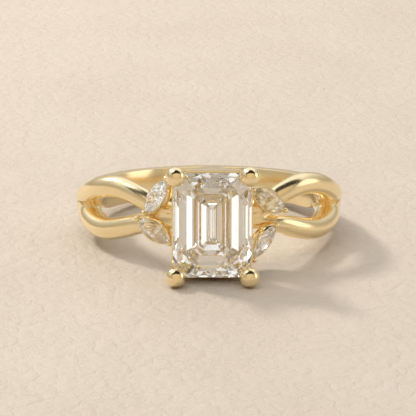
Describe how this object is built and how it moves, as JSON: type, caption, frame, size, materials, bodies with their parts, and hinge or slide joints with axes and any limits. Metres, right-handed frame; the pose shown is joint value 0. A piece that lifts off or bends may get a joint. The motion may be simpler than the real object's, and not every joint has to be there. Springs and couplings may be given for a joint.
{
  "type": "engagement ring",
  "caption": "Engagement ring: a shank that splits into crossing strands carries a four-claw head with an emerald-cut stone and leaf-shaped side stones.",
  "frame": {"origin": "centre of the finger bore, in the middle plane of the back band", "axes": "+Z along the finger bore, +X to the right with the head in front, -Y towards the head and its stone"},
  "size_m": [0.0216, 0.0245, 0.0094],
  "materials": {
    "gold": "polished yellow gold",
    "diamond": "clear, faceted and polished"
  },
  "bodies": {
    "root": {"back_band": "gold", "finger_bridge": "gold", "left_over_strand": "gold", "left_under_strand": "gold", "right_over_strand": "gold", "right_under_strand": "gold", "seat_rail": "gold", "lower_rail": "gold", "top_gallery_arch": "gold", "bottom_gallery_arch": "gold", "claw_top_left": "gold", "claw_top_right": "gold", "claw_bottom_left": "gold", "claw_bottom_right": "gold", "centre_stone": "diamond", "leaf_collet_top_left": "gold", "leaf_collet_top_right": "gold", "leaf_collet_bottom_left": "gold", "leaf_collet_bottom_right": "gold", "leaf_stone_top_left": "diamond", "leaf_stone_top_right": "diamond", "leaf_stone_bottom_left": "diamond", "leaf_stone_bottom_right": "diamond", "leaf_claws_top_left": "gold", "leaf_claws_top_right": "gold", "leaf_claws_bottom_left": "gold", "leaf_claws_bottom_right": "gold"}
  },
  "joints": []
}
